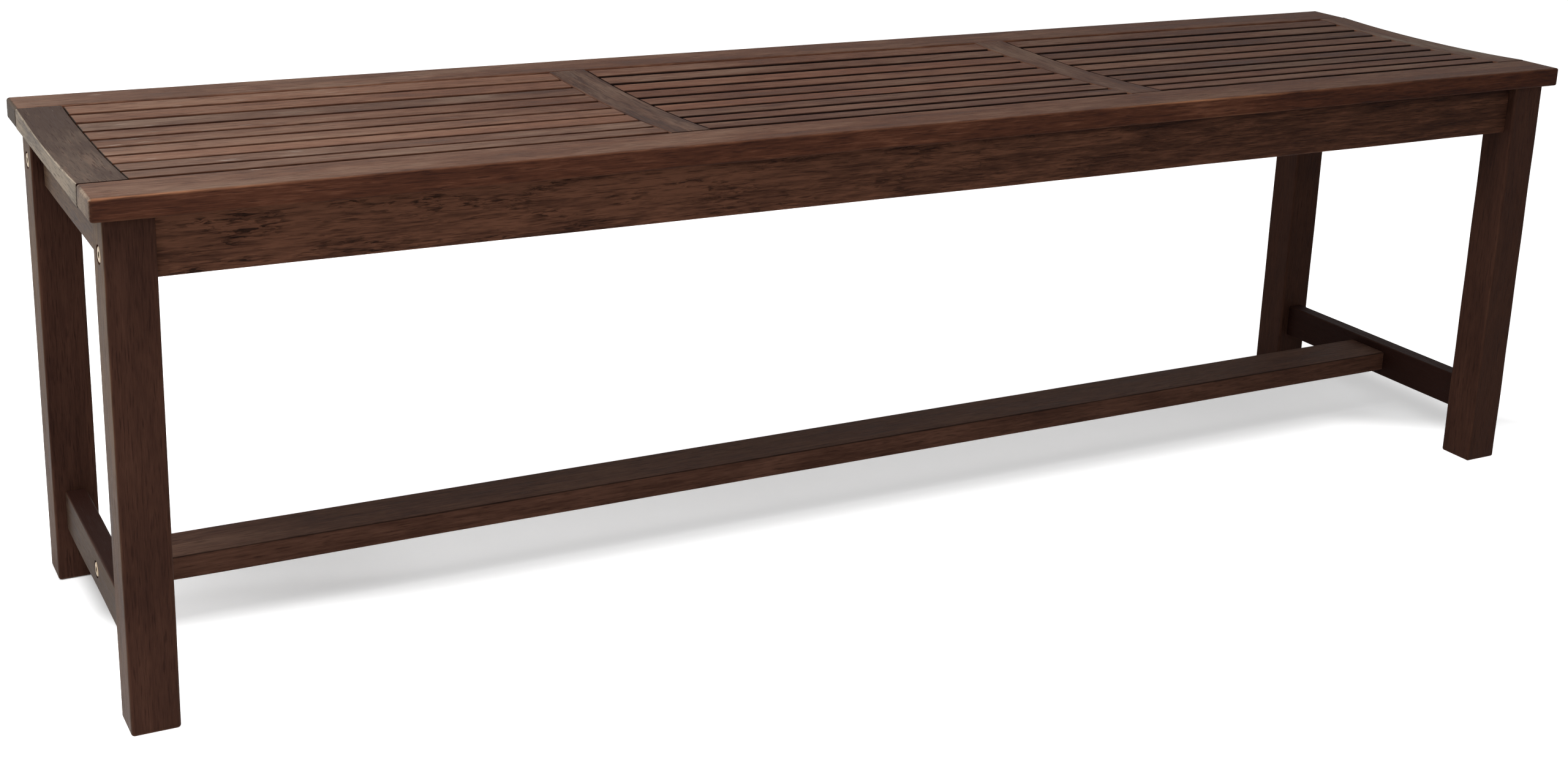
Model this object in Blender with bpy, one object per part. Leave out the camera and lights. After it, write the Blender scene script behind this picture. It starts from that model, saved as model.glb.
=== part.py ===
# Dining bench: slatted seat on four legs, with aprons and an H-shaped stretcher frame.
# Metres, +Z up. +X runs along the bench, the front faces -Y, the origin is on the floor at the middle.

import math

import bmesh
import bpy
from mathutils import Matrix, Vector

# Overall seat
SEAT_LENGTH = 1.530
SEAT_WIDTH = 0.381
SEAT_HEIGHT = 0.450
SEAT_THICK = 0.0195
SEAT_DISH = 0.004
DISH_STEPS = 12

# Seat boards
LONG_RAIL_WIDTH = 0.050
END_RAIL_WIDTH = 0.0395
CROSS_RAIL_WIDTH = 0.039
BAY_NAMES = ("left", "middle", "right")
SLATS_PER_BAY = 9
SLAT_GAP = 0.005
SLAT_THICK = 0.012

# Base boards
LEG_WIDTH = 0.040
LEG_DEPTH = 0.040
END_OVERHANG = 0.010
SIDE_OVERHANG = 0.010
APRON_HEIGHT = 0.052
APRON_THICK = 0.022
END_APRON_THICK = 0.019
END_STRETCHER_HEIGHT = 0.038
END_STRETCHER_THICK = 0.019
FOOT_CLEARANCE = 0.050
LONG_STRETCHER_WIDTH = 0.053
LONG_STRETCHER_HEIGHT = 0.022

# Edges and fits
EDGE_ROUND = 0.002
SLAT_ROUND = 0.001
EASED_END_ROUND = 0.001
CLEARANCE = 0.0003

# Tenons: each size is the tongue's own, and its mortise is larger by the clearance
SLAT_TENON_DEPTH = 0.010
SLAT_TENON_THICK = 0.006
SLAT_SHOULDER = 0.003
RAIL_TENON_DEPTH = 0.020
RAIL_TENON_THICK = 0.007
RAIL_SHOULDER = 0.006
LEG_TENON_DEPTH = 0.012
LEG_TENON_THICK = 0.009
LEG_SHOULDER = 0.006
TONGUE_DEPTH = 0.004
TONGUE_THICK = 0.010
TONGUE_SHOULDER = 0.005

# Knock-down bolts and their cross-dowel nuts
BOLT_HEAD_DIAMETER = 0.013
BOLT_HEAD_HEIGHT = 0.005
BOLT_HEAD_RIM = 0.001
BOLT_DIAMETER = 0.006
BOLT_BELOW_APRON_MIDDLE = 0.006
BOLT_REACH = 0.045
BOLT_PAST_NUT = 0.010
SOCKET_ACROSS_FLATS = 0.005
SOCKET_DEPTH = 0.0025
SOCKET_SIDES = 6
COUNTERBORE_DIAMETER = 0.016
COUNTERBORE_DEPTH = 0.0055
NUT_DIAMETER = 0.010
NUT_LENGTH = 0.014

# Screws that hold the seat to the end aprons
SCREW_HEAD_DIAMETER = 0.009
SCREW_HEAD_HEIGHT = 0.003
SCREW_DIAMETER = 0.004
SCREW_GRIP = 0.022
SCREW_IN_SEAT = 0.011
SCREW_SLATS_FROM_RAIL = 2

# Facets of round pieces, and steps across a rounded edge
ROUND_FACETS = 16
EDGE_STEPS = 2
SLAT_EDGE_STEPS = 1

# Materials: colour, roughness and metallic share
MATERIALS = {
    "stained_hardwood": ((0.085, 0.043, 0.030), 0.55, 0.0),
    "seat_hardwood": ((0.130, 0.078, 0.056), 0.60, 0.0),
    "brass_bolt": ((0.55, 0.40, 0.20), 0.35, 1.0),
    "zinc_steel": ((0.60, 0.60, 0.60), 0.40, 1.0),
}

# Places that follow from the sizes
SEAT_END = SEAT_LENGTH / 2
SEAT_SIDE = SEAT_WIDTH / 2
SEAT_UNDER = SEAT_HEIGHT - SEAT_THICK
INNER_HALF = SEAT_SIDE - LONG_RAIL_WIDTH
BASE_TOP = SEAT_UNDER - CLEARANCE
LEG_X = SEAT_END - END_OVERHANG - LEG_WIDTH / 2
LEG_Y = SEAT_SIDE - SIDE_OVERHANG - LEG_DEPTH / 2
LEG_INNER_X = LEG_X - LEG_WIDTH / 2
LEG_INNER_Y = LEG_Y - LEG_DEPTH / 2
APRON_Z = BASE_TOP - APRON_HEIGHT / 2
APRON_BOLT_Z = APRON_Z - BOLT_BELOW_APRON_MIDDLE
STRETCHER_Z = FOOT_CLEARANCE + END_STRETCHER_HEIGHT / 2
STRETCHER_INNER_X = LEG_X - END_STRETCHER_THICK / 2
BAY_COUNT = len(BAY_NAMES)
BAY_LENGTH = (SEAT_LENGTH - 2 * END_RAIL_WIDTH - (BAY_COUNT - 1) * CROSS_RAIL_WIDTH) / BAY_COUNT
BAY_PITCH = BAY_LENGTH + CROSS_RAIL_WIDTH
SLAT_WIDTH = (2 * INNER_HALF - (SLATS_PER_BAY + 1) * SLAT_GAP) / SLATS_PER_BAY
SLAT_PITCH = SLAT_WIDTH + SLAT_GAP
SCREW_Y = INNER_HALF - SCREW_SLATS_FROM_RAIL * SLAT_PITCH - SLAT_GAP / 2

# Which way each side of the bench lies
ENDS = {"left": -1, "right": 1}
SIDES = {"front": -1, "rear": 1}


def clear_scene():
    for old in list(bpy.data.objects):
        bpy.data.objects.remove(old, do_unlink=True)


def make_material(name):
    colour, roughness, metallic = MATERIALS[name]
    material = bpy.data.materials.new(name)
    material.use_nodes = True
    shader = material.node_tree.nodes["Principled BSDF"]
    shader.inputs["Base Color"].default_value = (*colour, 1.0)
    shader.inputs["Roughness"].default_value = roughness
    shader.inputs["Metallic"].default_value = metallic
    return material


def rounded_section(width, height, radius, steps=EDGE_STEPS):
    """Corner points of a rectangle with rounded corners, anticlockwise about its middle."""
    points = []
    for quarter, (side, up) in enumerate(((1, 1), (-1, 1), (-1, -1), (1, -1))):
        for step in range(steps + 1):
            angle = math.pi / 2 * (quarter + step / steps)
            points.append((side * (width / 2 - radius) + radius * math.cos(angle),
                           up * (height / 2 - radius) + radius * math.sin(angle)))
    return points


def loft(rings):
    """Closed solid through rings of points: caps on the first and last, quads between neighbours."""
    shape = bmesh.new()
    loops = [[shape.verts.new(point) for point in ring] for ring in rings]
    for near, far in zip(loops, loops[1:]):
        for i in range(len(near)):
            j = (i + 1) % len(near)
            shape.faces.new((near[i], near[j], far[j], far[i]))
    shape.faces.new(list(reversed(loops[0])))
    shape.faces.new(loops[-1])
    bmesh.ops.recalc_face_normals(shape, faces=shape.faces[:])
    return shape


def add_object(name, shape, material=None):
    mesh = bpy.data.meshes.new(name)
    shape.to_mesh(mesh)
    shape.free()
    piece = bpy.data.objects.new(name, mesh)
    bpy.context.scene.collection.objects.link(piece)
    if material is not None:
        mesh.materials.append(material)
    return piece


def cut(piece, name, shape):
    """Takes a shape out of a piece."""
    cutter = add_object(piece.name + "." + name, shape)
    cutter.hide_render = True
    cutter.display_type = "WIRE"
    modifier = piece.modifiers.new(name, "BOOLEAN")
    modifier.operation = "DIFFERENCE"
    modifier.solver = "EXACT"
    modifier.object = cutter


def along(axis, station, across, up):
    """World point of a section point at a station on a board that runs along X, Y or Z."""
    if axis == "X":
        return Vector((station, across, up))
    if axis == "Y":
        return Vector((across, station, up))
    return Vector((across, up, station))


def board_rings(axis, stations):
    """Rings of a board: a station is a place along the axis, a middle, a width, a height and a rounding."""
    rings = []
    for station, (mid_across, mid_up), width, height, radius in stations:
        section = rounded_section(width, height, radius)
        rings.append([along(axis, station, mid_across + a, mid_up + b) for a, b in section])
    return rings


def tenoned_board(axis, half, middle, width, height, tenon_width, tenon_height, tenon_depth, stations=None):
    """Board between two shoulders at plus and minus half, with a tenon on each end."""
    thin = (tenon_width, tenon_height, SLAT_ROUND)
    full = (width, height, EDGE_ROUND)
    body = stations or [(-half, middle, *full), (half, middle, *full)]
    tip = half + tenon_depth
    near_tenon = [(-tip, middle, *thin), (-half, middle, *thin)]
    far_tenon = [(half, middle, *thin), (tip, middle, *thin)]
    return loft(board_rings(axis, near_tenon + body + far_tenon))


def mortise(axis, mouth, outward, middle, width, height, depth):
    """Pocket for a tenon, larger by the clearance; outward points from the mouth away from the wood."""
    bottom = mouth - outward * (depth + CLEARANCE)
    top = mouth + outward * depth
    size = (width + 2 * CLEARANCE, height + 2 * CLEARANCE, SLAT_ROUND)
    return loft(board_rings(axis, [(bottom, middle, *size), (top, middle, *size)]))


def turned(axis, start, sense, middle, steps):
    """Round solid on an axis: each step is a distance from the start and a radius."""
    rings = []
    for distance, radius in steps:
        ring = []
        for i in range(ROUND_FACETS):
            angle = 2 * math.pi * (i + 0.5) / ROUND_FACETS
            across = middle[0] + radius * math.cos(angle)
            up = middle[1] + radius * math.sin(angle)
            ring.append(along(axis, start + sense * distance, across, up))
        rings.append(ring)
    return loft(rings)


def dish_top(y):
    """Height of the seat's top across its width: a shallow hollow between the long rails."""
    share = min(abs(y) / INNER_HALF, 1.0)
    return SEAT_HEIGHT - SEAT_DISH * (1 - share * share)


def slat_middle_y(index):
    """Middle of a slat, counted from the front."""
    return -INNER_HALF + SLAT_GAP + SLAT_WIDTH / 2 + index * SLAT_PITCH


def slat_ring(x, y, width, thickness, radius):
    """Section of a slat whose faces follow the hollow of the seat."""
    middle_depth = SLAT_THICK / 2
    section = rounded_section(width, thickness, radius, SLAT_EDGE_STEPS)
    return [Vector((x, y + a, dish_top(y + a) - middle_depth + b)) for a, b in section]


def bay_middle(bay):
    return (bay - (BAY_COUNT - 1) / 2) * BAY_PITCH


def make_slats(wood):
    half = BAY_LENGTH / 2 - CLEARANCE
    tenon_width = SLAT_WIDTH - 2 * SLAT_SHOULDER
    thin = (tenon_width, SLAT_TENON_THICK, SLAT_ROUND)
    full = (SLAT_WIDTH, SLAT_THICK, SLAT_ROUND)
    for bay, bay_name in enumerate(BAY_NAMES):
        for index in range(SLATS_PER_BAY):
            stations = [(-half - SLAT_TENON_DEPTH, thin), (-half, thin), (-half, full)]
            stations += [(half, full), (half, thin), (half + SLAT_TENON_DEPTH, thin)]
            y = slat_middle_y(index)
            rings = [slat_ring(bay_middle(bay) + x, y, *size) for x, size in stations]
            add_object(f"slat_{bay_name}_{index + 1}", loft(rings), wood)


def cut_slat_mortises(rail, name, mouth, outward):
    """Row of pockets for the slats' tenons in one edge of a rail."""
    width = SLAT_WIDTH - 2 * SLAT_SHOULDER + 2 * CLEARANCE
    thickness = SLAT_TENON_THICK + 2 * CLEARANCE
    bottom = mouth - outward * (SLAT_TENON_DEPTH + CLEARANCE)
    top = mouth + outward * SLAT_TENON_DEPTH
    pockets = bmesh.new()
    for index in range(SLATS_PER_BAY):
        y = slat_middle_y(index)
        pocket = loft([slat_ring(x, y, width, thickness, SLAT_ROUND) for x in (bottom, top)])
        scratch = bpy.data.meshes.new("pocket")
        pocket.to_mesh(scratch)
        pocket.free()
        pockets.from_mesh(scratch)
        bpy.data.meshes.remove(scratch)
    cut(rail, name, pockets)


def make_short_rail(name, x, width, wood):
    """End or cross rail between the long rails, with a hollowed top and a tenon on each end."""
    half = INNER_HALF - CLEARANCE
    stations = []
    for step in range(DISH_STEPS + 1):
        y = half * (2 * step / DISH_STEPS - 1)
        height = dish_top(y) - SEAT_UNDER
        stations.append((y, (x, SEAT_UNDER + height / 2), width, height, EDGE_ROUND))
    middle = (x, SEAT_UNDER + SEAT_THICK / 2)
    tenon_width = width - 2 * RAIL_SHOULDER
    shape = tenoned_board("Y", half, middle, width, SEAT_THICK, tenon_width, RAIL_TENON_THICK,
                          RAIL_TENON_DEPTH, stations)
    return add_object(name, shape, wood)


def short_rail_places():
    """Name, middle and width of each end rail and cross rail."""
    places = []
    for end, sign in ENDS.items():
        places.append((f"end_rail_{end}", sign * (SEAT_END - END_RAIL_WIDTH / 2), END_RAIL_WIDTH))
        cross_x = sign * (BAY_LENGTH + CROSS_RAIL_WIDTH) / 2
        places.append((f"cross_rail_{end}", cross_x, CROSS_RAIL_WIDTH))
    return places


def make_seat_frame(wood):
    for name, x, width in short_rail_places():
        rail = make_short_rail(name, x, width, wood)
        sign = math.copysign(1, x)
        cut_slat_mortises(rail, "slats_inward", x - sign * width / 2, -sign)
        if name.startswith("cross"):
            cut_slat_mortises(rail, "slats_outward", x + sign * width / 2, sign)
        else:
            for side, side_sign in SIDES.items():
                hole = turned("Z", SEAT_UNDER, 1, (sign * LEG_X, side_sign * SCREW_Y),
                              [(-SCREW_IN_SEAT, SCREW_DIAMETER / 2 + CLEARANCE),
                               (SCREW_IN_SEAT + CLEARANCE, SCREW_DIAMETER / 2 + CLEARANCE)])
                cut(rail, f"screw_{side}", hole)
    for side, sign in SIDES.items():
        middle = (sign * (SEAT_SIDE - LONG_RAIL_WIDTH / 2), SEAT_UNDER + SEAT_THICK / 2)
        full = (LONG_RAIL_WIDTH, SEAT_THICK, EDGE_ROUND)
        eased = (LONG_RAIL_WIDTH - 2 * EDGE_ROUND, SEAT_THICK - 2 * EDGE_ROUND, EASED_END_ROUND)
        inset = SEAT_END - EDGE_ROUND
        stations = [(-SEAT_END, middle, *eased), (-inset, middle, *full)]
        stations += [(inset, middle, *full), (SEAT_END, middle, *eased)]
        rail = add_object(f"seat_rail_{side}", loft(board_rings("X", stations)), wood)
        for name, x, width in short_rail_places():
            tenon_middle = (x, SEAT_UNDER + SEAT_THICK / 2)
            pocket = mortise("Y", sign * INNER_HALF, -sign, tenon_middle, width - 2 * RAIL_SHOULDER,
                             RAIL_TENON_THICK, RAIL_TENON_DEPTH)
            cut(rail, name, pocket)


def bolt_hole(start, sense, middle, depth, axis="X"):
    """Plain hole for a bolt's shank, reaching a little outside the wood at its start."""
    radius = BOLT_DIAMETER / 2 + CLEARANCE
    return turned(axis, start, sense, middle, [(-TONGUE_DEPTH, radius), (depth, radius)])


def counterbore(start, sense, middle):
    """Recess for a bolt's head, reaching a little outside the wood."""
    radius = COUNTERBORE_DIAMETER / 2
    return turned("X", start, sense, middle, [(-COUNTERBORE_DEPTH, radius), (COUNTERBORE_DEPTH, radius)])


def make_legs(wood):
    apron_tenon_height = APRON_HEIGHT - 2 * LEG_SHOULDER
    stretcher_tenon_height = END_STRETCHER_HEIGHT - 2 * LEG_SHOULDER
    tongue_height = APRON_HEIGHT - 2 * TONGUE_SHOULDER
    for end, x_sign in ENDS.items():
        for side, y_sign in SIDES.items():
            middle = (x_sign * LEG_X, y_sign * LEG_Y)
            foot = (LEG_WIDTH - 2 * EDGE_ROUND, LEG_DEPTH - 2 * EDGE_ROUND, EASED_END_ROUND)
            full = (LEG_WIDTH, LEG_DEPTH, EDGE_ROUND)
            stations = [(0, middle, *foot), (EDGE_ROUND, middle, *full), (BASE_TOP, middle, *full)]
            leg = add_object(f"leg_{side}_{end}", loft(board_rings("Z", stations)), wood)
            face_y = y_sign * LEG_INNER_Y
            pocket = mortise("Y", face_y, -y_sign, (middle[0], APRON_Z), LEG_TENON_THICK,
                             apron_tenon_height, LEG_TENON_DEPTH)
            cut(leg, "end_apron", pocket)
            pocket = mortise("Y", face_y, -y_sign, (middle[0], STRETCHER_Z), LEG_TENON_THICK,
                             stretcher_tenon_height, LEG_TENON_DEPTH)
            cut(leg, "end_stretcher", pocket)
            pocket = mortise("X", x_sign * LEG_INNER_X, -x_sign, (middle[1], APRON_Z), TONGUE_THICK,
                             tongue_height, TONGUE_DEPTH)
            cut(leg, "long_apron", pocket)
            outer = x_sign * (LEG_X + LEG_WIDTH / 2)
            bolt = (middle[1], APRON_BOLT_Z)
            cut(leg, "bolt_hole", bolt_hole(outer, -x_sign, bolt, LEG_WIDTH + TONGUE_DEPTH))
            cut(leg, "counterbore", counterbore(outer, -x_sign, bolt))


def nut_hole(axis, start, sense, middle, depth):
    radius = NUT_DIAMETER / 2 + CLEARANCE
    return turned(axis, start, sense, middle, [(-NUT_DIAMETER, radius), (depth, radius)])


def make_long_aprons(wood):
    half = LEG_INNER_X - CLEARANCE
    hole_depth = BOLT_REACH + BOLT_PAST_NUT + TONGUE_DEPTH
    for side, y_sign in SIDES.items():
        middle = (y_sign * LEG_Y, APRON_Z)
        shape = tenoned_board("X", half, middle, APRON_THICK, APRON_HEIGHT, TONGUE_THICK,
                              APRON_HEIGHT - 2 * TONGUE_SHOULDER, TONGUE_DEPTH)
        apron = add_object(f"apron_{side}", shape, wood)
        inner_face = y_sign * (LEG_Y - APRON_THICK / 2)
        nut_depth = (APRON_THICK + NUT_LENGTH) / 2 + CLEARANCE
        for end, x_sign in ENDS.items():
            bolt = (middle[0], APRON_BOLT_Z)
            hole = bolt_hole(x_sign * (half + TONGUE_DEPTH), -x_sign, bolt, hole_depth)
            cut(apron, f"bolt_{end}", hole)
            nut = (x_sign * (LEG_INNER_X - BOLT_REACH), APRON_BOLT_Z)
            cut(apron, f"nut_{end}", nut_hole("Y", inner_face, y_sign, nut, nut_depth))


def make_end_aprons(wood):
    half = LEG_INNER_Y - CLEARANCE
    for end, x_sign in ENDS.items():
        middle = (x_sign * LEG_X, APRON_Z)
        shape = tenoned_board("Y", half, middle, END_APRON_THICK, APRON_HEIGHT, LEG_TENON_THICK,
                              APRON_HEIGHT - 2 * LEG_SHOULDER, LEG_TENON_DEPTH)
        apron = add_object(f"end_apron_{end}", shape, wood)
        seat_floor = BASE_TOP - SCREW_GRIP
        wide = SCREW_HEAD_DIAMETER / 2 + CLEARANCE
        narrow = SCREW_DIAMETER / 2 + CLEARANCE
        for side, y_sign in SIDES.items():
            place = (middle[0], y_sign * SCREW_Y)
            hole = [(-APRON_HEIGHT, wide), (0, wide), (0, narrow), (SCREW_GRIP + SCREW_IN_SEAT, narrow)]
            cut(apron, f"screw_{side}", turned("Z", seat_floor, 1, place, hole))


def make_stretchers(wood):
    half = LEG_INNER_Y - CLEARANCE
    tongue_width = LONG_STRETCHER_WIDTH - 2 * TONGUE_SHOULDER
    for end, x_sign in ENDS.items():
        middle = (x_sign * LEG_X, STRETCHER_Z)
        shape = tenoned_board("Y", half, middle, END_STRETCHER_THICK, END_STRETCHER_HEIGHT, LEG_TENON_THICK,
                              END_STRETCHER_HEIGHT - 2 * LEG_SHOULDER, LEG_TENON_DEPTH)
        stretcher = add_object(f"end_stretcher_{end}", shape, wood)
        pocket = mortise("X", x_sign * STRETCHER_INNER_X, -x_sign, (0, STRETCHER_Z), tongue_width,
                         TONGUE_THICK, TONGUE_DEPTH)
        cut(stretcher, "tongue", pocket)
        outer = x_sign * (LEG_X + END_STRETCHER_THICK / 2)
        bolt = (0, STRETCHER_Z)
        cut(stretcher, "bolt_hole", bolt_hole(outer, -x_sign, bolt, END_STRETCHER_THICK + TONGUE_DEPTH))
        cut(stretcher, "counterbore", counterbore(outer, -x_sign, bolt))
    half = STRETCHER_INNER_X - CLEARANCE
    middle = (0, STRETCHER_Z)
    shape = tenoned_board("X", half, middle, LONG_STRETCHER_WIDTH, LONG_STRETCHER_HEIGHT, tongue_width,
                          TONGUE_THICK, TONGUE_DEPTH)
    stretcher = add_object("long_stretcher", shape, wood)
    underside = STRETCHER_Z - LONG_STRETCHER_HEIGHT / 2
    hole_depth = BOLT_REACH + BOLT_PAST_NUT + TONGUE_DEPTH
    nut_depth = (LONG_STRETCHER_HEIGHT + NUT_LENGTH) / 2 + CLEARANCE
    for end, x_sign in ENDS.items():
        hole = bolt_hole(x_sign * (half + TONGUE_DEPTH), -x_sign, middle, hole_depth)
        cut(stretcher, f"bolt_{end}", hole)
        nut = (x_sign * (STRETCHER_INNER_X - BOLT_REACH), 0)
        cut(stretcher, f"nut_{end}", nut_hole("Z", underside, 1, nut, nut_depth))


def make_bolt(name, outer, sense, middle, wood_thick, metal):
    """Bolt from a counterbore in the outer board to past the nut in the long board."""
    seat = COUNTERBORE_DEPTH - CLEARANCE
    head = BOLT_HEAD_DIAMETER / 2
    shank = BOLT_DIAMETER / 2
    tip = wood_thick + BOLT_REACH + BOLT_PAST_NUT - TONGUE_DEPTH
    crown = seat - BOLT_HEAD_HEIGHT
    steps = [(crown, head - BOLT_HEAD_RIM), (crown + BOLT_HEAD_RIM, head)]
    steps += [(seat, head), (seat, shank), (tip, shank)]
    bolt = add_object(name, turned("X", outer, sense, middle, steps), metal)
    socket = bmesh.new()
    corner = SOCKET_ACROSS_FLATS / math.sqrt(3)
    mouth = Matrix.Translation(along("X", outer + sense * crown, *middle))
    place = mouth @ Matrix.Rotation(math.pi / 2, 4, "Y")
    bmesh.ops.create_cone(socket, cap_ends=True, segments=SOCKET_SIDES, radius1=corner, radius2=corner,
                          depth=2 * SOCKET_DEPTH, matrix=place)
    cut(bolt, "socket", socket)


def make_nut(name, axis, x, y, z, metal):
    """Cross-dowel nut: a short round bar across the bolt, with a hole for it."""
    place, middle = {"Y": ((x, z), y), "Z": ((x, y), z)}[axis]
    radius = NUT_DIAMETER / 2
    bar = turned(axis, middle - NUT_LENGTH / 2, 1, place, [(0, radius), (NUT_LENGTH, radius)])
    nut = add_object(name, bar, metal)
    cut(nut, "bolt", bolt_hole(x - NUT_DIAMETER, 1, (y, z), 2 * NUT_DIAMETER))


def make_fasteners(brass, steel):
    for end, x_sign in ENDS.items():
        for side, y_sign in SIDES.items():
            middle = (y_sign * LEG_Y, APRON_BOLT_Z)
            outer = x_sign * (LEG_X + LEG_WIDTH / 2)
            make_bolt(f"leg_bolt_{side}_{end}", outer, -x_sign, middle, LEG_WIDTH, brass)
            nut_x = x_sign * (LEG_INNER_X - BOLT_REACH)
            make_nut(f"apron_nut_{side}_{end}", "Y", nut_x, *middle, steel)
            place = (x_sign * LEG_X, y_sign * SCREW_Y)
            head = SCREW_HEAD_DIAMETER / 2
            shank = SCREW_DIAMETER / 2
            start = BASE_TOP - SCREW_GRIP - CLEARANCE
            reach = SCREW_GRIP + SCREW_IN_SEAT + CLEARANCE
            steps = [(-SCREW_HEAD_HEIGHT, head), (0, head), (0, shank), (reach, shank)]
            add_object(f"seat_screw_{side}_{end}", turned("Z", start, 1, place, steps), steel)
        outer = x_sign * (LEG_X + END_STRETCHER_THICK / 2)
        make_bolt(f"stretcher_bolt_{end}", outer, -x_sign, (0, STRETCHER_Z), END_STRETCHER_THICK, brass)
        nut_x = x_sign * (STRETCHER_INNER_X - BOLT_REACH)
        make_nut(f"stretcher_nut_{end}", "Z", nut_x, 0, STRETCHER_Z, steel)


def main():
    clear_scene()
    wood = make_material("stained_hardwood")
    seat_wood = make_material("seat_hardwood")
    brass = make_material("brass_bolt")
    steel = make_material("zinc_steel")
    make_slats(seat_wood)
    make_seat_frame(seat_wood)
    make_legs(wood)
    make_long_aprons(wood)
    make_end_aprons(wood)
    make_stretchers(wood)
    make_fasteners(brass, steel)


main()
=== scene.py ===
import math

import bpy
import numpy as np
from mathutils import Matrix, Vector


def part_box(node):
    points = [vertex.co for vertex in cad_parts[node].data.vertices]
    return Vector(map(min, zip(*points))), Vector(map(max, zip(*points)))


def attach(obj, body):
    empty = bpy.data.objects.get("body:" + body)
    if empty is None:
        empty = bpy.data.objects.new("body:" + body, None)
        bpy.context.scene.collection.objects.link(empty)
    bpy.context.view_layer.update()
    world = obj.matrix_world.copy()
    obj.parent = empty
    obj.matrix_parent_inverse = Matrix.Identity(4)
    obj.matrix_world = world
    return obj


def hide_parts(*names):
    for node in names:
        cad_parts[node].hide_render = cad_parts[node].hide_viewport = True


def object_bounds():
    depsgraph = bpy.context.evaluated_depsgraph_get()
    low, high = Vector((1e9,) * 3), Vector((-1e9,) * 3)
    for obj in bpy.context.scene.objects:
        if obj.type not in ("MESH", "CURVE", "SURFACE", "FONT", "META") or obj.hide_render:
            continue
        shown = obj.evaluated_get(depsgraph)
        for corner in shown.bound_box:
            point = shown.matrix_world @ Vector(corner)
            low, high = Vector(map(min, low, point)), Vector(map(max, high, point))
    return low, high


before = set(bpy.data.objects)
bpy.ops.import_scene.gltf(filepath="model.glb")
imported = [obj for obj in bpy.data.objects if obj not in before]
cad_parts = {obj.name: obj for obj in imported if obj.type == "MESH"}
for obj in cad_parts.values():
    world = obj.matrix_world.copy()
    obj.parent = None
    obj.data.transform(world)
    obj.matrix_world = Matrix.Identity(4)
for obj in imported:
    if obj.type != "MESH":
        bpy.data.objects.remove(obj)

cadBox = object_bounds()
scene = bpy.context.scene
scene.view_settings.view_transform = "Standard"
ends = ("left", "right")
sides = ("front", "rear")
bays = ("left", "middle", "right")
slatCount = sum(1 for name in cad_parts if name.startswith("slat_left_"))


# node helpers: one call makes a node, sets its plain sockets and takes links into the others
def addNode(tree, kind, links=None, **settings):
    node = tree.nodes.new(kind)
    for key, value in settings.items():
        if key in node.inputs:
            node.inputs[key].default_value = value
        else:
            setattr(node, key, value)
    for key, source in (links or {}).items():
        tree.links.new(source, node.inputs[key])
    return node


mixSockets = {"inputs": (0, 6, 7), "output": 2}   # where a Mix node keeps its factor and its colours


def mixColour(tree, factor, first, second, blend="MIX"):
    node = tree.nodes.new("ShaderNodeMix")
    node.data_type = "RGBA"
    node.blend_type = blend
    for index, value in zip(mixSockets["inputs"], (factor, first, second)):
        if isinstance(value, (int, float)):
            node.inputs[index].default_value = value
        elif isinstance(value, tuple):
            node.inputs[index].default_value = (*value, 1.0)
        else:
            tree.links.new(value, node.inputs[index])
    return node.outputs[mixSockets["output"]]


def mathNode(tree, operation, first, second=0.0, clamp=False):
    node = tree.nodes.new("ShaderNodeMath")
    node.operation = operation
    node.use_clamp = clamp
    for socket, value in zip(node.inputs, (first, second)):
        if isinstance(value, (int, float)):
            socket.default_value = value
        else:
            tree.links.new(value, socket)
    return node.outputs[0]


# the reach is where the source begins and is full, and the result is what comes out there
def rampNode(tree, source, reach, result=(0.0, 1.0), interpolation="LINEAR"):
    node = tree.nodes.new("ShaderNodeMapRange")
    node.interpolation_type = interpolation
    node.inputs["From Min"].default_value, node.inputs["From Max"].default_value = reach
    node.inputs["To Min"].default_value, node.inputs["To Max"].default_value = result
    tree.links.new(source, node.inputs["Value"])
    return node.outputs["Result"]


def newMaterial(name):
    material = bpy.data.materials.new(name)
    material.use_nodes = True
    tree = material.node_tree
    tree.nodes.clear()
    output = tree.nodes.new("ShaderNodeOutputMaterial")
    shader = tree.nodes.new("ShaderNodeBsdfPrincipled")
    tree.links.new(shader.outputs["BSDF"], output.inputs["Surface"])
    return material, tree, shader


# camera at the photograph's angle
cameraView = {
    "place": (-1.028, -1.729, 0.855),
    "turn": 28.86,              # degrees from +Y towards +X
    "tilt": -15.96,
    "roll": -1.97,
    "focalPixels": 3397.0,
    "axisPixel": (1280, 400),   # where the optical axis meets the picture
    "picture": (2560, 1256),    # width and height in pixels
    "sensorWidth": 36.0,
    "clipStart": 0.01,
}


def makeCamera(view):
    turn, tilt, roll = (math.radians(view[key]) for key in ("turn", "tilt", "roll"))
    ahead = Vector((math.sin(turn) * math.cos(tilt), math.cos(turn) * math.cos(tilt), math.sin(tilt)))
    level = Vector((math.cos(turn), -math.sin(turn), 0.0))
    down = ahead.cross(level)
    right = level * math.cos(roll) + down * math.sin(roll)
    up = right.cross(ahead)
    turned = Matrix((right, up, -ahead)).transposed().to_4x4()
    camera = bpy.data.objects.new("camera", bpy.data.cameras.new("camera"))
    camera.matrix_world = Matrix.Translation(view["place"]) @ turned
    width, height = view["picture"]
    camera.data.sensor_fit = "HORIZONTAL"
    camera.data.sensor_width = view["sensorWidth"]
    camera.data.lens = view["sensorWidth"] * view["focalPixels"] / width
    camera.data.shift_x = (width / 2 - view["axisPixel"][0]) / width
    camera.data.shift_y = (view["axisPixel"][1] - height / 2) / width
    camera.data.clip_start = view["clipStart"]
    scene.collection.objects.link(camera)
    scene.camera = camera


makeCamera(cameraView)
print("camera placed")

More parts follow.
